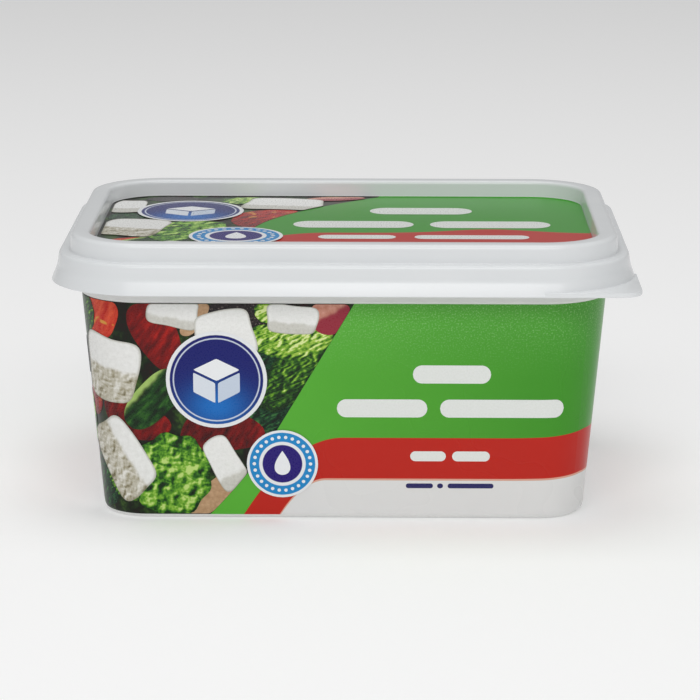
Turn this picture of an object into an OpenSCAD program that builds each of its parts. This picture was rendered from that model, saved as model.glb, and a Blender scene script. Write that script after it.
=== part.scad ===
// A shut rectangular tub for soft white cheese, with a press-on lid.
//
// Every contour of the tub and the lid, seen from above, is a rounded
// rectangle about the same four corner centres. So each piece is one
// section, drawn as distance outwards from a corner centre against height,
// which around() carries round the four corners and along the four sides.

/* [Lid] */
// Length over the flared edge of the skirt
lid_len = 140; // [110:1:190]
// Width over the flared edge of the skirt
lid_wid = 102; // [80:1:140]
// Corner radius of the flared edge, seen from above
lid_corner = 23; // [19:0.5:30]
// Thickness of the lid's plastic
lid_wall = 0.8; // [0.6:0.05:1.1]
// Height of the raised rim above the ledge that runs round it
ridge_h = 4.5; // [3:0.1:7]
// Width of the raised rim across its crest
ridge_w = 4.6; // [3.4:0.1:6]
// Width of the ledge between the skirt and the raised rim
ledge_w = 2.5; // [1.8:0.1:4]
// Drop of the skirt below the ledge
skirt_h = 7; // [5.5:0.1:9]
// How far the skirt leans out between the ledge and the flared band
skirt_lean = 0.6; // [0:0.1:1]
// Height of the flared band at the skirt's foot
flare_h = 3.5; // [2:0.1:4.5]
// How far the edge of the flared band stands out past its top
flare_out = 1.4; // [0.8:0.1:2.2]

/* [Lift tab] */
// Thickness of the tab at the lid's front right corner
tab_t = 1.2; // [0.8:0.1:1.8]
// Radius of the tab's tip
tab_tip = 5; // [2:0.5:9]

/* [Tub] */
// Height of the tub to the top of its rim
tub_h = 63.1; // [45:0.1:90]
// How far the base lies in from the skirt's edge, on each side
base_inset = 12; // [8:0.5:13]
// How far the top of the printed wall lies in from the skirt's edge
neck_inset = 7.2; // [6.5:0.1:8]
// Height of the plain band from the printed wall to the top of the rim
band_h = 9.1; // [7.5:0.1:12]
// How far the plain band stands out past the printed wall
band_step = 0.6; // [0.3:0.1:1]
// Thickness of the rim's flange
flange_t = 1.4; // [1:0.1:2.2]
// Round between the wall and the base
base_round = 2.2; // [1:0.1:3.5]
// Width of the ring that the tub stands on
foot_w = 3.6; // [2:0.1:4.5]
// Depth of the panel inside that ring
foot_h = 0.9; // [0.4:0.1:1.6]

/* [Fit] */
// Clearance between the rim's flange and the inside of the skirt
snap_gap = 0.3; // [0.2:0.05:0.5]
// How far the bead inside the skirt reaches under the rim's flange
snap_bead = 0.4; // [0.2:0.05:0.6]
// Clearance between the lid's panel and what the tub holds
panel_gap = 0.2; // [0.1:0.05:1]

/* [Hidden] */
$fn = 72;

// The four corner centres that all contours share
corner_x = lid_len / 2 - lid_corner;
corner_y = lid_wid / 2 - lid_corner;

// Heights
ledge_z = tub_h + lid_wall;
crest_z = ledge_z + ridge_h;
panel_z = tub_h + panel_gap + lid_wall;
skirt_z = ledge_z - skirt_h;
flare_z = skirt_z + flare_h;
band_z = tub_h - band_h;
flange_z = tub_h - flange_t;
bead_z = flange_z - snap_gap;

// Distances outwards from a corner centre: the lid
flare_r = lid_corner - flare_out;
ledge_r = flare_r - skirt_lean;
ridge_foot_r = ledge_r - ledge_w;
ridge_lean = 0.06 * ridge_h;
crest_out_r = ridge_foot_r - ridge_lean;
crest_in_r = crest_out_r - ridge_w;
panel_r = crest_in_r - ridge_lean;

// Distances outwards from a corner centre: the tub
base_r = lid_corner - base_inset;
neck_r = lid_corner - neck_inset;
band_r = neck_r + band_step;
flange_r = ledge_r - lid_wall - snap_gap;
bead_r = flange_r - snap_bead;

// Rounds on the lid's section
crest_out_round = min(1.2, ridge_w / 3);
crest_in_round = min(0.8, ridge_w / 4);
ledge_round = 0.6;
foot_round = 0.5;
bead_h = 0.9;

// Points of a round of radius r about [x, z], from angle a0 to a1
function arc(x, z, r, a0, a1, steps = 6) =
    [for (i = [0:steps]) let (a = a0 + (a1 - a0) * i / steps)
        [x + r * cos(a), z + r * sin(a)]];

// Inner face of the skirt at height z: its distance from the corner centre
function skirt_in(z) = z < flare_z
    ? lid_corner - flare_out * (z - skirt_z) / flare_h - lid_wall
    : flare_r - skirt_lean * (z - flare_z) / (ledge_z - flare_z) - lid_wall;

// Section of the lid: along its upper face from the middle of the panel
// out to the skirt's edge, then back along its underside, past the bead
// that snaps under the rim's flange.
lid_section = concat(
    [[0, panel_z]],
    arc(panel_r - foot_round, panel_z + foot_round, foot_round, -90, 0),
    arc(crest_in_r + crest_in_round, crest_z - crest_in_round,
        crest_in_round, 180, 90),
    arc(crest_out_r - crest_out_round, crest_z - crest_out_round,
        crest_out_round, 90, 0),
    arc(ridge_foot_r + foot_round, ledge_z + foot_round, foot_round, 180, 270),
    arc(ledge_r - ledge_round, ledge_z - ledge_round, ledge_round, 90, 0),
    [[flare_r, flare_z],
     [lid_corner, skirt_z],
     [lid_corner - lid_wall, skirt_z],
     for (z = [flare_z]) if (z < bead_z - bead_h) [skirt_in(z), z],
     [skirt_in(bead_z - bead_h), bead_z - bead_h],
     [bead_r, bead_z - bead_h / 3],
     [bead_r, bead_z],
     [skirt_in(bead_z), bead_z],
     for (z = [flare_z]) if (z > bead_z) [skirt_in(z), z],
     [ledge_r - lid_wall, tub_h],
     [ridge_foot_r - lid_wall, tub_h],
     [crest_out_r - lid_wall, crest_z - lid_wall],
     [crest_in_r + lid_wall, crest_z - lid_wall],
     [panel_r + lid_wall, panel_z - lid_wall],
     [0, panel_z - lid_wall]]);

// The wall leans outwards by this angle
wall_lean = atan((neck_r - base_r) / band_z);

// Section of the tub, with all that it holds: from the middle of its base
// up the printed wall to the flange, and back over the level top.
tub_section = concat(
    [[0, foot_h],
     [base_r - base_round - foot_w - foot_h, foot_h],
     [base_r - base_round - foot_w, 0]],
    arc(base_r - base_round, base_round, base_round, -90, -wall_lean),
    [[neck_r, band_z],
     [band_r, band_z + band_step / 2],
     [band_r, flange_z],
     [flange_r, flange_z],
     [flange_r, tub_h],
     [0, tub_h]]);

// Carries a section round the four corners and along the four sides
module around() {
    for (turn = [0, 180]) rotate([0, 0, turn]) {
        translate([corner_x, corner_y, 0])
            rotate_extrude(angle = 90) children();
        translate([-corner_x, corner_y, 0]) rotate([0, 0, 90])
            rotate_extrude(angle = 90) children();
        translate([-corner_x, corner_y, 0]) rotate([90, 0, 90])
            linear_extrude(height = 2 * corner_x) children();
        translate([corner_x, corner_y, 0]) rotate([90, 0, 0])
            linear_extrude(height = 2 * corner_y) children();
    }
}

// Level slab between the corner centres, from height z0 to z1
module middle(z0, z1) {
    translate([-corner_x, -corner_y, z0])
        cube([2 * corner_x, 2 * corner_y, z1 - z0]);
}

// The lift tab fills out the front right corner of the skirt's edge. It is
// cut back to the middle of the skirt's wall, so nothing reaches inside.
module lift_tab() {
    root_r = lid_corner - (lid_wall + flare_out * tab_t / flare_h) / 2;
    translate([corner_x, -corner_y, skirt_z]) mirror([0, 1, 0])
        linear_extrude(height = tab_t) difference() {
            union() {
                square([lid_corner, lid_corner - tab_tip]);
                square([lid_corner - tab_tip, lid_corner]);
                translate([lid_corner - tab_tip, lid_corner - tab_tip])
                    circle(r = tab_tip);
            }
            circle(r = root_r);
        }
}

module tub() {
    color("forestgreen") {
        around() polygon(tub_section);
        middle(foot_h, tub_h);
    }
}

module lid() {
    color("gainsboro") {
        around() polygon(lid_section);
        middle(panel_z - lid_wall, panel_z);
        lift_tab();
    }
}

tub();
lid();
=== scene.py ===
import bmesh
import bpy
import numpy as np
from mathutils import Matrix, Vector


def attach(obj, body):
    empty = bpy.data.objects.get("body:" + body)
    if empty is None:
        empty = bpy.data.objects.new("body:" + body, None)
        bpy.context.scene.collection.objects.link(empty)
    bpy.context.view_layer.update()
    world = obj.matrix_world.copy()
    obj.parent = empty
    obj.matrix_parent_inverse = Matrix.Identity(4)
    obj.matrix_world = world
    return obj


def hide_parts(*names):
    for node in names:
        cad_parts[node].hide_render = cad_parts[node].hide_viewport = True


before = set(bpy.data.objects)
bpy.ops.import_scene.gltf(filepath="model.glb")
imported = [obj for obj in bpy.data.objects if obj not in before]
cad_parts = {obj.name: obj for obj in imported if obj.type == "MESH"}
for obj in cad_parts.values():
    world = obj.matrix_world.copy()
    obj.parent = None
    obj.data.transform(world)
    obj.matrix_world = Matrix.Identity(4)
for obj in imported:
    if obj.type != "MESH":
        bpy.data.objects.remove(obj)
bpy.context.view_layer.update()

# ------------------------------------------------------------------ the tub
# One box of white polypropylene, injection moulded. Its walls lean outwards to a plain band and a
# flange, which the lid presses over, and it stands on a ring round its sunken base.

MM = 0.001
SIDE_X = 47.0          # corner centres that every contour shares, from the middle
SIDE_Y = 28.0
BEND_R = 13.4          # radius at which lengths round a corner are counted
BEND = BEND_R * np.pi / 2
ROUND = 4 * (SIDE_X + SIDE_Y + BEND)
LONG_STEPS = 30        # steps of the mesh along a long side, a short side and a corner
SHORT_STEPS = 18
BEND_STEPS = 18
SHARP = 35             # degrees between two faces, past which their edge stays sharp
BASE_Z = 0.9
BRIM_Z = 63.1
PLASTIC_IOR = 1.49

# Distance out from the corner centres, height, and how far before the corner its round begins
TUB_SECTION = [
    (0, BASE_Z, 0), (4.3, BASE_Z, 0.3), (5.2, 0, 0.3), (11.0, 0, 2.2), (15.8, 54.0, 0.1),
    (16.4, 54.3, 0.15), (16.4, 61.7, 0.4), (19.9, 61.7, 0.3), (19.9, BRIM_Z, 0.3), (0, BRIM_Z, 0)]


def contour_stops():
    """Lengths along the contour, from the middle of the back and round past the left, at which a
    straight side or a corner ends."""
    return np.cumsum([-ROUND / 2, SIDE_X, BEND, 2 * SIDE_Y, BEND, 2 * SIDE_X, BEND, 2 * SIDE_Y, BEND,
                      SIDE_X])


def around(s, r, z):
    """A point of the tub or the lid. s mm to the right of the front's middle, the contour has a foot
    on the rectangle of corner centres and an outward direction. Both are interpolated between the
    stops: the foot moves along the sides, and the direction turns in the corners. The point is the
    foot plus r times the direction, at height z."""
    s, r, z = np.broadcast_arrays(s, r, z)
    s = (s + ROUND / 2) % ROUND - ROUND / 2
    x, y = SIDE_X, SIDE_Y
    stops = contour_stops()
    foot_x = np.interp(s, stops, [0, -x, -x, -x, -x, x, x, x, x, 0])
    foot_y = np.interp(s, stops, [y, y, y, -y, -y, -y, -y, y, y, y])
    turn = np.radians(np.interp(s, stops, [-180, -180, -90, -90, 0, 0, 90, 90, 180, 180]))
    return np.stack([foot_x + r * np.sin(turn), foot_y - r * np.cos(turn), z], axis=-1)


def rounded(corners, steps=5):
    """A section through corners (out, up, cut). Each corner P becomes the parabola
    (1-t)^2 A + 2t(1-t) P + t^2 B between the points A and B that lie cut mm before and after it."""
    corners = np.array(corners, float)
    p, cut = corners[:, :2], corners[:, 2:]
    back = np.vstack([p[:1], p[:-1]]) - p
    on = np.vstack([p[1:], p[-1:]]) - p
    a = p + cut * back / np.maximum(np.linalg.norm(back, axis=1, keepdims=True), 1e-9)
    b = p + cut * on / np.maximum(np.linalg.norm(on, axis=1, keepdims=True), 1e-9)
    t = np.linspace(0, 1, steps + 1)[None, :, None]
    curve = (1 - t) ** 2 * a[:, None] + 2 * t * (1 - t) * p[:, None] + t ** 2 * b[:, None]
    return curve.reshape(-1, 2)


def stations():
    """Lengths along the whole contour, in equal steps on each side and in each corner."""
    counts = np.cumsum([0, LONG_STEPS // 2, BEND_STEPS, SHORT_STEPS, BEND_STEPS, LONG_STEPS, BEND_STEPS,
                        SHORT_STEPS, BEND_STEPS, LONG_STEPS // 2])
    return np.interp(np.arange(counts[-1] + 1), counts, contour_stops())


def middle(z):
    """The level rectangle between the corner centres, as a grid that meets the stations."""
    x = np.linspace(-SIDE_X, SIDE_X, LONG_STEPS + 1)
    y = np.linspace(-SIDE_Y, SIDE_Y, SHORT_STEPS + 1)
    return np.stack(np.broadcast_arrays(x[None, :], y[:, None], z), axis=-1)


def sheet_of(name, grids, marks=None, closed=False):
    """Joins grids of points, in mm, into one mesh, with a face between each four neighbours. marks
    gives, by name, one array for each grid, kept as a point attribute. Points that coincide are
    merged, and the faces of a closed shell are turned outwards."""
    points, faces, first = [], [], 0
    for grid in grids:
        rows, columns = grid.shape[:2]
        index = first + np.arange(rows * columns).reshape(rows, columns)
        quads = np.stack([index[:-1, :-1], index[:-1, 1:], index[1:, 1:], index[1:, :-1]], axis=-1)
        points.append(grid.reshape(-1, 3))
        faces.append(quads.reshape(-1, 4))
        first += rows * columns
    mesh = bpy.data.meshes.new(name)
    mesh.from_pydata((np.concatenate(points) * MM).tolist(), [], np.concatenate(faces).tolist())
    for mark, arrays in (marks or {}).items():
        values = np.concatenate([array.reshape(array.shape[0] * array.shape[1], -1) for array in arrays])
        kind, field = ("FLOAT_VECTOR", "vector") if values.shape[1] == 3 else ("FLOAT", "value")
        mesh.attributes.new(mark, kind, "POINT").data.foreach_set(field, values.ravel())
    work = bmesh.new()
    work.from_mesh(mesh)
    bmesh.ops.remove_doubles(work, verts=work.verts, dist=1e-6)
    if closed:
        bmesh.ops.recalc_face_normals(work, faces=work.faces)
    work.to_mesh(mesh)
    work.free()
    mesh.shade_smooth()
    mesh.set_sharp_from_angle(angle=np.radians(SHARP))
    piece = bpy.data.objects.new(name, mesh)
    bpy.context.scene.collection.objects.link(piece)
    return piece


class Wire:
    """One socket of a material's nodes. Arithmetic on wires and numbers adds Math nodes."""

    def __init__(self, tree, socket=None):
        self.tree = tree
        self.socket = socket

    def node(self, kind, settings, sockets, out=0):
        """Adds a node: first its settings, then the values or links of its sockets."""
        made = self.tree.nodes.new("ShaderNode" + kind)
        for name, value in settings.items():
            if name == "stops":
                elements = made.color_ramp.elements
                elements[0].position, elements[0].color = value[0]
                elements[1].position, elements[1].color = value[-1]
                for at, colour in value[1:-1]:
                    elements.new(at).color = colour
            else:
                setattr(made, name, value)
        for name, value in sockets.items():
            if isinstance(value, Wire):
                self.tree.links.new(value.socket, made.inputs[name])
            else:
                made.inputs[name].default_value = value
        return Wire(self.tree, made.outputs[out])

    def sum(self, operation, *values):
        return self.node("Math", {"operation": operation}, dict(enumerate(values)))

    def __add__(self, other):
        return self.sum("ADD", self, other)

    __radd__ = __add__

    def __sub__(self, other):
        return self.sum("SUBTRACT", self, other)

    def __rsub__(self, other):
        return self.sum("SUBTRACT", other, self)

    def __mul__(self, other):
        return self.sum("MULTIPLY", self, other)

    __rmul__ = __mul__

    def __truediv__(self, other):
        return self.sum("DIVIDE", self, other)

    def least(self, other):
        return self.sum("MINIMUM", self, other)

    def most(self, other):
        return self.sum("MAXIMUM", self, other)

    def over(self, edge, blur=0.12):
        """1 where the wire is more than edge, 0 where it is less, turning smoothly over blur."""
        return self.node("MapRange", {"interpolation_type": "SMOOTHSTEP"},
                         {"Value": self - edge, "From Min": -blur / 2, "From Max": blur / 2})

    def blend(self, low, high):
        """Colour low where the wire is 0 and high where it is 1."""
        return self.node("Mix", {"data_type": "RGBA"}, {0: self, 6: low, 7: high}, 2)

    def grain(self, where, scale, detail=2.0):
        """Cloudy noise over a place, from 0 to 1."""
        return self.node("TexNoise", {}, {"Vector": where, "Scale": scale, "Detail": detail})


def ink(red, green, blue):
    """A colour given as it looks on a screen, from 0 to 255, made linear."""
    c = np.array([red, green, blue]) / 255
    return (*np.where(c > 0.04045, ((c + 0.055) / 1.055) ** 2.4, c / 12.92).tolist(), 1.0)


def new_finish(name):
    """Starts a material: gives it, and a wire that new nodes are added from."""
    material = bpy.data.materials.new(name)
    material.use_nodes = True
    return material, Wire(material.node_tree)


def shade(wire, sockets, height=None, strength=0.1, depth=0.0001):
    """Sets the sockets of the material's one shader, and a bump from a height, depth metres deep."""
    shader = wire.tree.nodes["Principled BSDF"]
    if height is not None:
        bump = {"Strength": strength, "Distance": depth, "Height": height}
        sockets["Normal"] = wire.node("Bump", {}, bump)
    for name, value in sockets.items():
        if isinstance(value, Wire):
            wire.tree.links.new(value.socket, shader.inputs[name])
        else:
            shader.inputs[name].default_value = value


tub_line = rounded(TUB_SECTION)
tub = sheet_of("tub_shell", [around(stations()[None, :], tub_line[:, :1], tub_line[:, 1:]),
                             middle(BASE_Z)[::-1], middle(BRIM_Z)], closed=True)

moulded, wire = new_finish("moulded_white")
place = wire.node("TexCoord", {}, {}, "Object")
cloud = wire.grain(place, 60.0, 3.0)
fine = wire.grain(place, 2600.0, 2.0)
shade(wire, {"Base Color": cloud.blend(ink(226, 227, 225), ink(233, 233, 231)),
             "Roughness": 0.26 + 0.12 * cloud, "IOR": PLASTIC_IOR}, fine, 0.12, 0.00003)
tub.data.materials.append(moulded)
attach(tub, "root")
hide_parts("tub")

# ------------------------------------------------------------------ the lid
# A thin shell of satin white polypropylene, injection moulded: a sunken panel, a raised rim round
# it, a narrow ledge and a flared skirt whose inner bead holds the flange. A lift tab fills one corner.

PANEL_Z = 64.1         # top and underside of the sunken panel
PANEL_UNDER_Z = 63.3
RIM_Z = 68.4
SKIRT_Z = 56.9         # foot of the skirt, and how far out it lies
SKIRT_R = 23.0
TAB_T = 1.2
TAB_TIP = 5.0          # radius of the tab's corner
TAB_ROOT_R = 22.36

# As for the tub: over the panel, the rim, the ledge and the skirt, then back along the inside
LID_SECTION = [
    (0, PANEL_Z, 0), (13.36, PANEL_Z, 0.5), (13.63, RIM_Z, 1.0), (18.23, RIM_Z, 1.3), (18.5, 63.9, 0.5),
    (21.0, 63.9, 0.7), (21.6, 60.4, 0.7), (SKIRT_R, SKIRT_Z, 0.25), (22.2, SKIRT_Z, 0.15),
    (20.8, 60.4, 0.1), (19.5, 60.5, 0.1), (19.5, 61.4, 0.1), (20.5, 61.4, 0.1), (20.2, BRIM_Z, 0.1),
    (17.7, BRIM_Z, 0.1), (17.43, 67.6, 0.3), (14.43, 67.6, 0.3), (14.16, PANEL_UNDER_Z, 0.1),
    (0, PANEL_UNDER_Z, 0)]


def tab_plate(steps=12):
    """The lift tab: a ring of its section, carried from the skirt's front to its right side. Its outer
    edge runs along the square corner of that size and round its tip; its inner edge lies on the
    circle about the corner centre, at the same angle. The two ends are drawn together."""
    reach = SKIRT_R - TAB_TIP
    tip = np.radians(np.linspace(-90, 0, steps))
    run = np.linspace(0, reach, steps)
    edge_x = np.concatenate([run, reach + TAB_TIP * np.cos(tip), np.full(steps, SKIRT_R)])
    edge_y = np.concatenate([np.full(steps, -SKIRT_R), -reach + TAB_TIP * np.sin(tip), -run[::-1]])
    far = np.hypot(edge_x, edge_y)
    root = TAB_ROOT_R / far
    # Share of the way from root to edge, and share of the thickness, round the plate's section
    way = np.array([0, 0.94, 0.985, 1, 1, 0.985, 0.94, 0, 0])[:, None]
    up = np.array([0, 0, 0.06, 0.25, 0.75, 0.94, 1, 1, 0])[:, None]
    share = root + (1 - root) * way
    grid = np.stack([SIDE_X + edge_x * share, -SIDE_Y + edge_y * share,
                     SKIRT_Z + TAB_T * up + 0 * share], axis=-1)
    ends = grid[:, [0, -1]].mean(axis=0, keepdims=True) + 0 * grid[:, [0, -1]]
    return np.concatenate([ends[:, :1], grid, ends[:, 1:]], axis=1)


lid_line = rounded(LID_SECTION)
lid = sheet_of("lid_shell", [around(stations()[None, :], lid_line[:, :1], lid_line[:, 1:]),
                             middle(PANEL_Z), middle(PANEL_UNDER_Z)[::-1], tab_plate()], closed=True)

satin, wire = new_finish("satin_white")
place = wire.node("TexCoord", {}, {}, "Object")
cloud = wire.grain(place, 45.0, 3.0)
fine = wire.grain(place, 1900.0, 3.0)
wave = wire.grain(place, 130.0, 1.0)
shade(wire, {"Base Color": cloud.blend(ink(226, 229, 231), ink(233, 235, 236)),
             "Roughness": 0.19 + 0.08 * cloud, "IOR": PLASTIC_IOR}, fine * 0.15 + wave, 0.10, 0.00012)
lid.data.materials.append(satin)
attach(lid, "root")
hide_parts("lid")

# ------------------------------------------------------------------ the printed wall
# A label film that is moulded into the walls, glossy, with the same print on the front and the back:
# a salad picture, a green field, a red band that sweeps down at its left, and white below it.

FILM = 0.03            # how far the film stands proud of the wall
FILM_FOOT = 1.0
FILM_HEAD = 53.85
FACE = SIDE_X + BEND / 2    # from a face's middle to the middle of its corner
PICTURE_END = 125           # along an end's print, at its foot, where the next face's picture begins
PICTURE_LEAN = 0.13         # how much nearer that edge is for each mm up
FIELD_GAP = 0.1             # room between the picture's shapes and the edge of the green
GLOSS_LEVEL = 0.25
RED = ink(192, 32, 18)
WHITE = ink(229, 229, 228)
CREAM = ink(226, 168, 148)


def wall_r(z):
    """Distance of the printed wall from the corner centres at height z, read off the tub's section."""
    outer = tub_line[(tub_line[:, 0] > 9) & (tub_line[:, 1] < 54.01)]
    return np.interp(z, outer[:, 1], outer[:, 0])


def wall_film(name, s_from, s_to, u_from, columns):
    """A film over one stretch of the wall, with its print's own coordinates in mm: along, and up."""
    along = np.linspace(0, s_to - s_from, columns)[None, :]
    z = np.concatenate([np.linspace(FILM_FOOT, 3.2, 7), np.linspace(5.5, FILM_HEAD, 22)])[:, None]
    art = np.stack(np.broadcast_arrays(u_from + along, z, 0.0), axis=-1)
    return sheet_of(name, [around(s_from + along, wall_r(z) + FILM, z)], {"art": [art]})


def print_place(wire):
    """The print's own coordinates."""
    return wire.node("Attribute", {"attribute_name": "art"}, {}, "Vector")


def along_and_up(wire, art):
    """The two numbers of a place on the print."""
    along = wire.node("SeparateXYZ", {}, {0: art})
    return along, Wire(wire.tree, along.socket.node.outputs[1])


def salad_ground(wire, art):
    """Shade between the pieces of the salad: a ramp of near-black greens and a dark red over noise."""
    tone = wire.grain(art, 0.17, 4.0) + 0.22 * (wire.grain(art, 1.1, 3.0) - 0.5)
    return wire.node("ValToRGB", {"stops": [
        (0.32, ink(52, 10, 8)), (0.43, ink(24, 12, 8)), (0.52, ink(14, 24, 8)),
        (0.60, ink(30, 52, 16)), (0.70, ink(64, 96, 32))]}, {0: tone})


def wall_slant(v, drop):
    """How far along the slanting edge of the green lies at height v: a straight line, bent by the
    square of the drop below 20 mm."""
    return 2.6 - 0.585 * (53.8 - v) - 0.010 * drop * drop


def banded(v, red_top, red_foot, green, line):
    """The fields by height: green, red between its two edges, a cream line of that width, and white."""
    field = (red_foot - line - v).over(0).blend(green, WHITE)
    field = ((red_foot + 0.1 - v).over(0) * (v - red_foot + line).over(0)).blend(field, CREAM)
    return ((red_top - v).over(0) * (v - red_foot).over(0)).blend(field, RED)


label, wire = new_finish("printed_label")
art = print_place(wire)
u, v = along_and_up(wire, art)
# The red band's edges are level in the middle, fall to the left and rise a little to the right, each
# by the square of the distance
left = u.least(0)
low = (u + 4).least(0)
right = (u - 38).most(0).least(22)
red_top = 20.6 - 0.0345 * left * left + 0.0025 * right * right
red_foot = 10.3 - 0.073 * low * low + 0.0015 * right * right
picture = (wall_slant(v, (20 - v).most(0)) - u).over(0).most((u + PICTURE_LEAN * v).over(PICTURE_END))
grain = wire.grain(art, 2.6, 3.0)
shadow = wire.grain(art, 0.05, 1.0)
green = ((u + 20) / 80 + 0.2 * (shadow - 0.5)).blend(ink(88, 178, 50), ink(58, 144, 28))
# Over its top 20 mm the green is painted paler, as a painted haze of reflected light, with the print's
# own pale flecks there too, and a faint grain all over
flecks_and_painted_haze = v.over(44, 20) * (0.06 + 0.42 * grain.over(0.6, 0.2)) + 0.03 * grain
green = flecks_and_painted_haze.blend(green, ink(160, 218, 140))
field = picture.blend(banded(v, red_top, red_foot, green, line=0.45), salad_ground(wire, art))
fine = wire.grain(art, 2.4, 2.0)
shade(wire, {"Base Color": field, "Roughness": 0.24 + 0.08 * shadow, "Specular IOR Level": GLOSS_LEVEL},
      fine, 0.05, 0.00004)

for name, s_from, s_to, u_from, columns in (
        ("print_front", -FACE, FACE, -FACE, 81), ("print_right", FACE, ROUND / 2 - FACE, FACE, 57),
        ("print_back", ROUND / 2 - FACE, ROUND / 2 + FACE, -FACE, 81),
        ("print_left", ROUND / 2 + FACE, ROUND - FACE, FACE, 57)):
    film = wall_film(name, s_from, s_to, u_from, columns)
    film.data.materials.append(label)
    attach(film, "root")

# ------------------------------------------------------------------ the lid's print
# A label film moulded into the sunken panel, with the same fields as the wall in the panel's own
# proportions, its red band waved.

PANEL_R = 12.8

# Distance out and height of the film: flat, then a little way up the round at the panel's edge
panel_line = np.array([(13.28, 64.36), (13.16, 64.2), (13.0, 64.12), (PANEL_R, PANEL_Z), (10, PANEL_Z),
                       (7, PANEL_Z), (3.5, PANEL_Z), (0, PANEL_Z)])
panel_grids = [around(stations()[None, :], panel_line[:, :1] - FILM / 2, panel_line[:, 1:] + FILM),
               middle(PANEL_Z + FILM)]
panel_grids[0][-1] = around(stations(), 0, PANEL_Z + FILM)
lid_film = sheet_of("print_lid", panel_grids, {"art": [grid * (1, 1, 0) for grid in panel_grids]})


def lid_slant(y, rise):
    """How far along the slanting edge of the green lies at y: a straight line, bent by the square of
    the rise above -0.4 mm."""
    return 0.28 * (y + 0.4) - 22 + 0.0108 * rise * rise


lid_label, wire = new_finish("printed_lid_label")
art = print_place(wire)
x, y = along_and_up(wire, art)
# The red band's top edge has a hump of e^-(distance / 14)^2 about x = 36
hump = (x - 36) / 14
left = (x + 4).least(0)
low = (x + 8).least(0)
red_top = 5.0 * wire.sum("EXPONENT", 0 - hump * hump) - 8.5 - 0.030 * left * left
red_foot = -24.0 - 0.05 * low * low
picture = (lid_slant(y, (y + 0.4).most(0)) - x).over(0)
grain = wire.grain(art, 0.8, 4.0)
shadow = wire.grain(art, 0.04, 1.0)
green = (grain * 0.4 + shadow * 0.6).blend(ink(50, 142, 26), ink(66, 160, 40))
field = picture.blend(banded(y, red_top, red_foot, green, line=0.5), salad_ground(wire, art))
fine = wire.grain(art, 2.0, 2.0)
shade(wire, {"Base Color": field, "Roughness": 0.26 + 0.08 * shadow, "Specular IOR Level": 0.3},
      fine, 0.05, 0.00004)
lid_film.data.materials.append(lid_label)
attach(lid_film, "root")

# ------------------------------------------------------------------ the salad picture
# Cut vegetables and blocks of white cheese, printed on the film. Each is one plain shape, a rippled oval
# or a rounded block that follows the wall, shaded by a tone worked out over it.

SALAD_LIFT = 0.02      # of the lowest kind off the film
KIND_STEP = 0.016      # from one kind to the next, and from one shape of a kind to the next
SHAPE_STEP = 0.003


def on_front(u, v, lift):
    """The print's place (u, v) on the front wall, lift mm off its film."""
    return around(u, wall_r(v) + FILM + lift, v)


def on_back(u, v, lift):
    return on_front(u + ROUND / 2, v, lift)


def on_lid(x, y, lift):
    return np.stack([x, y, PANEL_Z + FILM + lift + 0 * x], axis=-1)


def patch(outline, soft=0.8, rings=14, turns=72):
    """A star-shaped flat shape: centre + rho (outline - centre), for rho from 1 down to 0 and once
    round. The outline is cut into equal steps, and its corners are softened by averaging over soft mm.
    Gives the two coordinates, rho and the centre."""
    line = np.array(outline, float)
    x, y = line.T
    if np.sum(x * np.roll(y, -1) - np.roll(x, -1) * y) < 0:
        line = line[::-1]
    loop = np.vstack([line, line[:1]])
    length = np.concatenate([[0], np.cumsum(np.linalg.norm(np.diff(loop, axis=0), axis=1))])
    step = np.linspace(0, length[-1], turns, endpoint=False)
    reach = np.linspace(-soft, soft, 9)
    at = (step[:, None] + reach[None, :]) % length[-1]
    edge = np.stack([np.interp(at, length, loop[:, k]).mean(axis=1) for k in (0, 1)], axis=1)
    edge = np.vstack([edge, edge[:1]])
    centre = edge[:-1].mean(axis=0)
    rho = np.linspace(1, 0, rings + 1)[:, None]
    spot = centre + rho[..., None] * (edge - centre)[None]
    return spot[..., 0], spot[..., 1], rho + 0 * spot[..., 0], centre


def facets(u, v, centre, aim, split):
    """Tone of a cube: bright on the side that aim, in degrees, points to, and dark past a straight edge
    that lies split mm from the centre."""
    a = np.radians(aim)
    side = (u - centre[0]) * np.cos(a) + (v - centre[1]) * np.sin(a)
    edge = (v - centre[1]) * np.cos(a) - (u - centre[0]) * np.sin(a)
    wave = 0.16 * np.sin(1.1 * edge + centre[0]) + 0.10 * np.sin(2.7 * edge)
    return 0.5 + 0.5 * np.tanh((side - split + wave) / 0.3)


# From the lowest layer up: how square the outline is, and the depth and number of its ripples
SALAD_KINDS = {
    "dark_leaf": (1.6, 0.05, 7), "tomato": (2.3, 0.06, 3), "olive": (2.4, 0.04, 5),
    "crust": (2.6, 0.03, 4), "cucumber": (2.5, 0.02, 3), "bright_leaf": (1.8, 0.05, 9),
    "lettuce": (2.1, 0.05, 9), "onion": (1.8, 0.03, 3), "cheese": (7.0, 0.05, 3),
    "crumbly_cheese": (6.0, 0.05, 3)}
TWO_SIDED = ("cheese", "crumbly_cheese", "onion", "cucumber")
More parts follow.
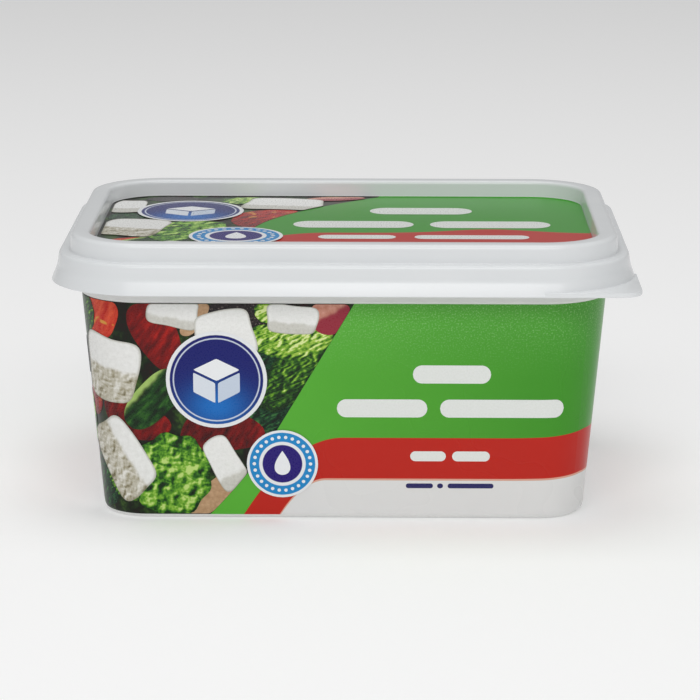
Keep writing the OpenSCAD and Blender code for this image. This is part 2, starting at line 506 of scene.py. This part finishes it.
# Each shape's place across and up, its width and height, its turn in degrees, and its level: how far up
# the bright side of a two-sided shape begins, as a share of its half height, or else how bright it is
WALL_SALAD = {
    "dark_leaf": [(-68, 49, 14, 12, 0, 0.5), (-62, 8, 16, 14, 0, 0.5), (-14, 40, 24, 10, 20, 0.5),
                  (-18, 26, 12, 18, -20, 0.5)],
    "tomato": [(-44, 46, 10, 19, 25, 0.25), (-58, 50, 11, 11, -20, 0.9), (-50, 25, 18, 9, -20, 0.1),
               (-29, 22, 20, 10, 0, 0.0), (-63, 28, 8, 7, 0, 0.3)],
    "olive": [(-25, 51, 15, 8, 0, 0)],
    "crust": [(-35, 50, 4, 10, -35, 0), (-31, 6, 6, 16, -45, 0)],
    "cucumber": [(-45, 30, 18, 9, 48, 0.7)],
    "bright_leaf": [(-62, 50, 6, 10, 0, 0.0), (-54, 8, 12, 6, -30, 0.35), (-18, 52, 6, 6, 0, 0.8),
                    (-12, 36, 22, 11, 50, 0.12), (-13, 45, 22, 9, 0, 0.65)],
    "lettuce": [(-67, 23, 7, 14, 0, 0.5), (-41, 11, 19, 21, -10, 0.5)],
    "onion": [(-3, 51, 10, 10, 30, 0.1)],
    "cheese": [(-70, 38, 6, 9, 0, -0.2), (-40, 52, 12, 8, -10, -0.2), (-28, 46, 14, 12, 10, -1.2),
               (-12, 50, 12, 7, -5, -0.3), (-28, 14, 7, 14, 28, -0.5)],
    "crumbly_cheese": [(-56, 37, 15, 16, -8, 0.0), (-54, 15, 20, 13, -55, 0.3)]}
LID_SALAD = {
    "dark_leaf": [(-56, 12, 12, 10, 0, 0.5)],
    "tomato": [(-20, 10, 16, 26, -15, 0.5), (-52, -27, 16, 22, 0, 0.8)],
    "olive": [(-45, 37, 14, 7, 0, 0)],
    "cucumber": [(-50, -22, 16, 9, 45, 0.7)],
    "bright_leaf": [(-26, 35, 13, 10, 20, 0.6)],
    "lettuce": [(-39, -7, 20, 28, -15, 0.5)],
    "onion": [(-3, 38, 16, 6, 10, 0.1)],
    "cheese": [(-56, 26, 9, 17, 0, -0.3), (-16, 30, 20, 16, -8, -0.3), (-38, -29, 15, 15, -15, -0.2)],
    "crumbly_cheese": [(-53, -3, 17, 22, -15, -0.1)]}


def in_wall_picture(u, v):
    """Kept between the film's edges, left of the slanting edge of the green, and short of the edge
    where the picture ends round the corner."""
    v = np.clip(v, FILM_FOOT + 0.2, FILM_HEAD - 0.15)
    u = np.maximum(u, PICTURE_END + 2 * FIELD_GAP - PICTURE_LEAN * v - ROUND / 2)
    return np.minimum(u, wall_slant(v, np.maximum(20 - v, 0)) - FIELD_GAP), v


def in_lid_picture(x, y):
    """Kept left of the slanting edge of the green, and inside the panel's rounded edge."""
    x = np.minimum(x, lid_slant(y, np.maximum(y + 0.4, 0)) - FIELD_GAP)
    past_x = np.maximum(np.abs(x) - SIDE_X, 0)
    past_y = np.maximum(np.abs(y) - SIDE_Y, 0)
    share = np.minimum(1, (PANEL_R - 0.2) / np.maximum(np.hypot(past_x, past_y), 0.001))
    return (np.sign(x) * (np.minimum(np.abs(x), SIDE_X) + share * past_x),
            np.sign(y) * (np.minimum(np.abs(y), SIDE_Y) + share * past_y))


def plain_shape(kind, x, y, wide, high, turn, keep_in):
    """Outline whose distance out at angle t is (|cos t|^n + |sin t|^n)^(-1/n) (1 + ripple sin(waves t
    + x)), stretched to its width and height, turned, moved and kept in the picture."""
    n, ripple, waves = SALAD_KINDS[kind]
    t = np.linspace(0, 2 * np.pi, 144, endpoint=False)
    out = (np.abs(np.cos(t)) ** n + np.abs(np.sin(t)) ** n) ** (-1 / n)
    out = out * (1 + ripple * np.sin(waves * t + x))
    across = out * np.cos(t) * wide / 2
    up = out * np.sin(t) * high / 2
    a = np.radians(turn)
    return np.stack(keep_in(x + across * np.cos(a) - up * np.sin(a),
                            y + across * np.sin(a) + up * np.cos(a)), axis=1)


def printed(name, put, shapes, finish):
    """Joins shapes, each its u, v, rho, tone and lift, on one face into a printed piece. It carries
    the print's place, rho as the rim, and the tone."""
    grids, marks = [], {"art": [], "rim": [], "tone": []}
    for u, v, rho, tone, lift in shapes:
        grids.append(put(u, v, lift))
        marks["art"].append(np.stack([u, v, 0 * u], axis=-1))
        marks["rim"].append(rho)
        marks["tone"].append(tone + 0 * rho)
    piece = sheet_of(name, grids, marks)
    piece.data.materials.append(finish)
    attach(piece, "root")


def salad(name, kind, rows, put, keep_in, finish):
    """The shapes of one kind on one face. Each lies a little above the one before it, and each kind
    above the last. Some have a bright and a dark side, and the others brighten to the upper right."""
    low = SALAD_LIFT + KIND_STEP * list(SALAD_KINDS).index(kind)
    shapes = []
    for index, (x, y, wide, high, turn, level) in enumerate(rows):
        u, v, rho, centre = patch(plain_shape(kind, x, y, wide, high, turn, keep_in))
        if kind in TWO_SIDED:
            tone = facets(u, v, centre, turn + 90, level * high / 2)
        else:
            tone = np.clip(level + 0.015 * (u - x + v - y), 0, 1)
        shapes.append((u, v, rho, tone, low + SHAPE_STEP * index))
    printed(name, put, shapes, finish)


def printed_finish(name, paint):
    """A finish of the same gloss as the label, whose colour paint works out from the print's place,
    the tone and the distance from the middle."""
    material, wire = new_finish(name)
    art = print_place(wire)
    tone = wire.node("Attribute", {"attribute_name": "tone"}, {}, "Fac")
    rim = wire.node("Attribute", {"attribute_name": "rim"}, {}, "Fac")
    fine = wire.grain(art, 2.4, 2.0)
    shade(wire, {"Base Color": paint(wire, art, tone, rim), "Roughness": 0.24 + 0.08 * fine,
                 "Specular IOR Level": GLOSS_LEVEL}, fine, 0.05, 0.00004)
    return material


def streaked(wire, art, aim, along, across):
    """The print's place, turned so that aim, in degrees, lies along the first axis, and scaled by
    across on that axis and by along on the other."""
    turned = wire.node("Mapping", {"vector_type": "POINT"},
                       {"Vector": art, "Rotation": (0, 0, -np.radians(aim))})
    return wire.node("VectorMath", {"operation": "MULTIPLY"}, {0: turned, 1: (across, along, 1.0)})


def relief(wire, art, scale, gain, shift=0.3, detail=3.0):
    """Light and shade of a crumpled surface lit from its upper left: the height of sharp-edged folds,
    which is noise folded about its middle, less the height a little way off."""
    place = wire.node("VectorMath", {"operation": "ADD"}, {0: art, 1: (shift, -shift, 0)})
    here = wire.sum("ABSOLUTE", wire.grain(art, scale, detail) - 0.5)
    there = wire.sum("ABSOLUTE", wire.grain(place, scale, detail) - 0.5)
    return 0.5 + gain * (there - here)


def paint_cheese(wire, art, tone, rim):
    """Smooth bright top and a paler grey side."""
    crumb = wire.grain(art, 1.2, 4.0)
    top = crumb.blend(ink(228, 228, 224), ink(250, 250, 248))
    side = crumb.blend(ink(190, 188, 178), ink(222, 221, 214))
    return (0.5 * rim.over(0.955, 0.09)).blend(tone.blend(side, top), ink(140, 136, 112))


def paint_crumbly_cheese(wire, art, tone, rim):
    """Smooth bright top and a broken side, with pits and cracks where the noise is low."""
    crumb = wire.grain(art, 0.9, 6.0)
    top = crumb.blend(ink(224, 224, 220), ink(250, 250, 248))
    height = 0.25 * wire.grain(art, 0.13, 2.0) - 0.12 + relief(wire, art, 0.24, 4.2, 0.45, 4.0)
    side = wire.node("ValToRGB", {"stops": [
        (0.05, ink(112, 104, 76)), (0.32, ink(172, 165, 142)), (0.60, ink(206, 202, 188)),
        (0.95, ink(236, 234, 227))]}, {0: height})
    return (0.5 * rim.over(0.955, 0.09)).blend(tone.blend(side, top), ink(130, 126, 98))


def paint_tomato(wire, art, tone, rim):
    """Wet flesh: dark to bright red by the tone, streaked across, with a few seeds and highlights."""
    flesh = wire.grain(streaked(wire, art, 60, 0.7, 0.25), 1.0, 4.0)
    body = wire.node("ValToRGB", {"stops": [
        (0.20, ink(48, 4, 6)), (0.45, ink(122, 10, 10)), (0.66, ink(188, 30, 18)),
        (0.86, ink(222, 84, 52))]}, {0: 0.45 * tone + 0.75 * flesh - 0.04})
    seeds = wire.grain(art, 0.36, 1.0).over(0.68, 0.06) * tone.over(0.4, 0.3)
    return seeds.blend(body, ink(214, 150, 60))


def paint_lettuce(wire, art, tone, rim):
    """Curled leaf: dark green in its creases, up to a pale yellow green on its crests."""
    height = 0.75 * relief(wire, art, 0.19, 7.0, 0.7) + 0.25 * relief(wire, art, 0.6, 4.0) + 0.2 * tone
    height = height + 1.1 * (wire.grain(art, 0.13, 1.0) - 0.5)
    return wire.node("ValToRGB", {"stops": [
        (0.05, ink(12, 40, 8)), (0.32, ink(36, 92, 16)), (0.56, ink(84, 146, 32)),
        (0.78, ink(134, 186, 58)), (0.98, ink(194, 222, 124))]}, {0: height - 0.30 * rim.over(0.93, 0.2)})


def paint_bright_leaf(wire, art, tone, rim):
    """Leaf seen edge on: streaks of yellow green that darken by the tone."""
    height = 0.65 * relief(wire, streaked(wire, art, 25, 1.0, 0.5), 0.45, 6.0) + 0.75 * tone
    return wire.node("ValToRGB", {"stops": [
        (0.22, ink(16, 44, 14)), (0.48, ink(46, 96, 24)), (0.72, ink(112, 166, 40)),
        (0.98, ink(186, 214, 92)), (1.0, ink(222, 236, 160))]}, {0: height - 0.25 * rim.over(0.9, 0.2)})


def paint_dark_leaf(wire, art, tone, rim):
    """The same streaks on a leaf in the shade."""
    height = 0.7 * relief(wire, streaked(wire, art, 25, 1.0, 0.5), 0.45, 6.0) + 0.1
    return wire.node("ValToRGB", {"stops": [
        (0.15, ink(6, 24, 12)), (0.55, ink(16, 60, 34)), (0.95, ink(66, 128, 62))]}, {0: height})


def paint_cucumber(wire, art, tone, rim):
    """Dark green skin and the pale green edge of the cut."""
    skin = wire.grain(streaked(wire, art, 45, 0.8, 0.3), 1.0, 4.0)
    body = wire.node("ValToRGB", {"stops": [
        (0.35, ink(8, 30, 10)), (0.55, ink(22, 66, 20)), (0.72, ink(58, 112, 36))]}, {0: skin})
    return tone.blend(body, skin.blend(ink(120, 166, 62), ink(196, 218, 134)))


def paint_olive(wire, art, tone, rim):
    """Near-black skin with pale specks."""
    specks = wire.grain(art, 2.2, 2.0).over(0.62, 0.05)
    body = wire.grain(art, 0.5, 2.0).blend(ink(16, 14, 16), ink(52, 42, 44))
    return (0.5 * specks).blend(body, ink(140, 126, 118))


def paint_onion(wire, art, tone, rim):
    """Pink flesh, and a purple skin on the dark side."""
    streak = wire.grain(art, 0.9, 2.0)
    body = streak.blend(ink(176, 96, 66), ink(232, 176, 160))
    return tone.blend(ink(150, 44, 60), body)


def paint_crust(wire, art, tone, rim):
    """Browned bread."""
    return wire.grain(art, 1.0, 3.0).blend(ink(152, 112, 74), ink(214, 178, 142))


PAINTS = {"cheese": paint_cheese, "crumbly_cheese": paint_crumbly_cheese, "tomato": paint_tomato,
          "lettuce": paint_lettuce, "bright_leaf": paint_bright_leaf, "dark_leaf": paint_dark_leaf,
          "cucumber": paint_cucumber, "olive": paint_olive, "onion": paint_onion, "crust": paint_crust}
for kind, paint in PAINTS.items():
    finish = printed_finish("printed_" + kind, paint)
    salad(kind + "_front", kind, WALL_SALAD[kind], on_front, in_wall_picture, finish)
    salad(kind + "_back", kind, WALL_SALAD[kind], on_back, in_wall_picture, finish)
    if kind in LID_SALAD:
        salad(kind + "_lid", kind, LID_SALAD[kind], on_lid, in_lid_picture, finish)

# ------------------------------------------------------------------ the oval badge
# A plain badge printed over the picture: dark blue inside a white border and a thin inner line, with a
# paler glow low down and a white block of cheese.

BADGE_LIFT = 0.19
BLOCK_LIFT = 0.205


def oval(x, y, half_w, half_h, points=48):
    """Points of an ellipse about x, y."""
    t = np.linspace(0, 2 * np.pi, points, endpoint=False)
    return np.stack([x + half_w * np.cos(t), y + half_h * np.sin(t)], axis=1)


def paint_badge(wire, art, tone, rim):
    """Bands by the distance from the middle: the blue body, a thin white line and the white border."""
    body = tone.blend(ink(20, 26, 108), ink(22, 112, 196))
    lined = (rim.over(0.84, 0.02) * (1 - rim.over(0.865, 0.02))).blend(body, ink(214, 222, 236))
    return rim.over(0.925, 0.015).blend(lined, ink(236, 238, 240))


def badge(name, put, x, y, half_w, half_h, finish, block_finish):
    """The oval, whose glow is e^-((across / 0.62 wide)^2 + (up / 0.45 high)^2) about a place low in it,
    and on it the top, the left and the right face of the block, each in its own tint."""
    u, v, rho, centre = patch(oval(x, y, half_w, half_h), soft=0.05, rings=30, turns=96)
    glow = np.exp(-(((u - x) / (0.62 * half_w)) ** 2) - ((v - y + 0.55 * half_h) / (0.45 * half_h)) ** 2)
    printed(name, put, [(u, v, rho, glow, BADGE_LIFT)], finish)
    w, h = 0.46 * half_w, 0.46 * half_h
    faces = [[(x - w, y + 0.45 * h), (x, y + 0.95 * h), (x + w, y + 0.45 * h), (x, y - 0.05 * h)],
             [(x - w, y + 0.33 * h), (x - 0.06 * w, y - 0.15 * h), (x - 0.06 * w, y - 1.05 * h),
              (x - w, y - 0.55 * h)],
             [(x + 0.06 * w, y - 0.15 * h), (x + w, y + 0.33 * h), (x + w, y - 0.55 * h),
              (x + 0.06 * w, y - 1.05 * h)]]
    shapes = []
    for face, tint in zip(faces, (1.0, 0.75, 0.5)):
        u, v, rho, centre = patch(face, soft=0.25, rings=4, turns=40)
        shapes.append((u, v, rho, tint, BLOCK_LIFT))
    printed(name + "_block", put, shapes, block_finish)


badge_finish = printed_finish("printed_badge", paint_badge)
block_finish = printed_finish("printed_block", lambda wire, art, tone, rim: tone.blend(
    ink(150, 178, 214), ink(242, 244, 246)))
badge("badge_front", on_front, -30, 35, 12, 12, badge_finish, block_finish)
badge("badge_back", on_back, -30, 35, 12, 12, badge_finish, block_finish)
badge("badge_lid", on_lid, -39.5, 19.5, 13.5, 14.5, badge_finish, block_finish)

# ------------------------------------------------------------------ the round seal
# A plain round seal printed below the badge: a white rim, a blue ring of white dots, a white ring and a
# navy disc with a white drop of milk.

SEAL_LIFT = 0.22
SEAL_MARK_LIFT = 0.235
SEAL_DOTS = 26


def paint_seal(wire, art, tone, rim):
    """Bands by the distance from the middle."""
    body = rim.over(0.56, 0.02).blend(ink(38, 20, 116), ink(238, 240, 242))
    body = rim.over(0.655, 0.02).blend(body, ink(30, 138, 204))
    return rim.over(0.925, 0.015).blend(body, ink(238, 240, 242))


def seal(name, put, x, y, radius, finish, mark_finish):
    """The disc, and on it the dots and the drop. At angle t the drop's edge is sin t sin(t / 2)^1.2
    across and cos t up, each times its share of the radius."""
    u, v, rho, centre = patch(oval(x, y, radius, radius), soft=0.05, rings=24, turns=72)
    printed(name, put, [(u, v, rho, 0, SEAL_LIFT)], finish)
    spots = oval(x, y, 0.79 * radius, 0.79 * radius, SEAL_DOTS)
    t = np.linspace(0, 2 * np.pi, 40, endpoint=False)
    drop = np.stack([x + 0.30 * radius * np.sin(t) * np.sin(t / 2) ** 1.2,
                     y + 0.03 * radius + 0.36 * radius * np.cos(t)], axis=1)
    outlines = [(oval(a, b, 0.05 * radius, 0.05 * radius, 12), 2, 12) for a, b in spots] + [(drop, 6, 40)]
    shapes = []
    for outline, rings, turns in outlines:
        u, v, rho, centre = patch(outline, soft=0.02, rings=rings, turns=turns)
        shapes.append((u, v, rho, 1, SEAL_MARK_LIFT))
    printed(name + "_marks", put, shapes, mark_finish)


seal_finish = printed_finish("printed_seal", paint_seal)
seal("seal_front", on_front, -14.5, 14, 8.5, seal_finish, block_finish)
seal("seal_back", on_back, -14.5, 14, 8.5, seal_finish, block_finish)
seal("seal_lid", on_lid, -26.5, -14, 11.5, seal_finish, block_finish)

# ------------------------------------------------------------------ the bars
# Plain round-ended bars, printed where a pack has its words: white on the green and the red, and navy
# on the white foot.

BAR_LIFT = 0.03

# Each from its left end to its right, its height up the face, and its own height
WALL_BARS = [(16.5, 35, 36.5, 4.5), (-1.5, 20, 28, 4.5), (23, 52.5, 28, 4.5), (16, 24.5, 16, 2.5),
             (26, 35, 16, 2.5)]
WALL_NAVY_BARS = [(15, 21.5, 8.5, 1.2), (22.5, 23.9, 8.5, 1.2), (25, 36, 8.5, 1.2)]
LID_BARS = [(6, 32, 21, 9), (-13, 17, 2.5, 9), (21, 51, 2.5, 9), (-6.5, 12.5, -14, 5), (17, 45, -14, 5)]
LID_NAVY_BARS = [(-4, 10, -31, 2.5), (12, 34, -31, 2.5)]


def bar_grid(left, right, y, height, columns=90):
    """A bar as a grid: across it from left to right, and up by the half height of its straight part,
    or of the half circle at either end: the root of h^2 - (how far past the centre)^2. The columns
    stand closer together near the ends."""
    half = height / 2
    t = 0.5 - 0.5 * np.cos(np.linspace(0, np.pi, columns))
    along = left + (right - left) * (0.35 * t + 0.65 * np.linspace(0, 1, columns))
    past = np.maximum(np.maximum(left + half - along, along - right + half), 0)
    up = np.sqrt(np.maximum(half ** 2 - past ** 2, 0))
    share = np.linspace(-1, 1, 5)[:, None]
    return along[None, :] + 0 * share, y + share * up[None, :], np.abs(share) + 0 * along[None, :]


def bars(name, put, rows, finish):
    """Joins one face's bars of one colour into a piece."""
    printed(name, put, [(*bar_grid(*row), 1, BAR_LIFT) for row in rows], finish)


white_ink = printed_finish("white_ink", lambda wire, art, tone, rim: wire.grain(art, 2.0).blend(
    ink(238, 240, 238), ink(226, 230, 224)))
navy_ink = printed_finish("navy_ink", lambda wire, art, tone, rim: wire.grain(art, 2.0).blend(
    ink(36, 36, 92), ink(48, 46, 104)))
for face, put in (("front", on_front), ("back", on_back)):
    bars("bars_" + face, put, WALL_BARS, white_ink)
    bars("navy_bars_" + face, put, WALL_NAVY_BARS, navy_ink)
bars("bars_lid", on_lid, LID_BARS, white_ink)
bars("navy_bars_lid", on_lid, LID_NAVY_BARS, navy_ink)

# ------------------------------------------------------------------ the ends' panels
# A white panel with rounded corners and grey rules, printed on the green of each end, where such a tub
# has its small print.

END_MIDDLE = SIDE_X + BEND + SIDE_Y
END_HALF = 19          # half width of a panel, and the heights of its foot and head
END_FOOT = 27
END_HEAD = 49
RULE_STEP = 3.6


def paint_panel(wire, art, tone, rim):
    """White, with a grey rule at each step up, short of its border."""
    along, up = along_and_up(wire, art)
    phase = wire.sum("FRACT", up / RULE_STEP)
    rule = (1 - phase.over(0.10, 0.04)) * (1 - rim.over(0.86, 0.02))
    return (0.6 * rule).blend(ink(234, 236, 234), ink(96, 110, 100))


panel_finish = printed_finish("printed_panel", paint_panel)
left, right = END_MIDDLE - END_HALF, END_MIDDLE + END_HALF
u, v, rho, centre = patch([(left, END_FOOT), (right, END_FOOT), (right, END_HEAD), (left, END_HEAD)],
                          soft=2.0, rings=20, turns=96)
printed("panel_right", on_front, [(u, v, rho, 0, BAR_LIFT)], panel_finish)
printed("panel_left", on_back, [(u, v, rho, 0, BAR_LIFT)], panel_finish)

# ------------------------------------------------------------------ floor, light and camera
# A pale floor, just under the tub's foot ring, a white surround, broad soft lights in front and above,
# and a small one in front that puts a highlight on the lid's skirt.

FLOOR_Z = -0.1
FLOOR_X = np.linspace(-6000, 6000, 3)
FLOOR_Y = np.linspace(-3000, 9000, 3)
AIM = Vector((0, 0, 0.05))
CAMERA_TURN = 0.00918  # radians about the upright, down from level, and about the line of sight
CAMERA_TILT = 0.22563
CAMERA_ROLL = 0.00164

floor = sheet_of("floor", [np.stack(np.broadcast_arrays(FLOOR_X[None, :], FLOOR_Y[:, None], FLOOR_Z),
                                    axis=-1)])
pale, wire = new_finish("pale_floor")
shade(wire, {"Base Color": ink(236, 236, 236), "Roughness": 0.9, "Specular IOR Level": 0.1,
             "Emission Color": (1, 1, 1, 1), "Emission Strength": 0.22})
floor.data.materials.append(pale)

world = bpy.data.worlds.new("white_surround")
bpy.context.scene.world = world
world.use_nodes = True
world.node_tree.nodes["Background"].inputs["Color"].default_value = (1, 1, 1, 1)
world.node_tree.nodes["Background"].inputs["Strength"].default_value = 0.33
bpy.context.scene.view_settings.view_transform = "Standard"

# Each with its width and height in metres, its power in watts, and its place
for name, wide, high, power, at in (
        ("front", 1.4, 0.5, 7.8, (0.0, -1.25, 0.98)), ("top", 0.9, 0.9, 5.4, (-0.05, 0.0, 1.3)),
        ("window", 0.14, 0.10, 0.60, (0.0, -1.35, 0.78))):
    data = bpy.data.lights.new(name, "AREA")
    data.shape = "RECTANGLE"
    data.size = wide
    data.size_y = high
    data.energy = power
    lamp = bpy.data.objects.new(name, data)
    lamp.location = at
    lamp.rotation_euler = (AIM - Vector(at)).to_track_quat("-Z", "Y").to_euler()
    bpy.context.scene.collection.objects.link(lamp)

eye = bpy.data.cameras.new("camera")
eye.lens = 159.1
eye.sensor_width = 36
camera = bpy.data.objects.new("camera", eye)
camera.location = (0.00815, -0.75445, 0.20584)
camera.rotation_euler = (Matrix.Rotation(CAMERA_TURN, 3, "Z")
                         @ Matrix.Rotation(np.pi / 2 - CAMERA_TILT, 3, "X")
                         @ Matrix.Rotation(CAMERA_ROLL, 3, "Z")).to_euler()
bpy.context.scene.collection.objects.link(camera)
bpy.context.scene.camera = camera
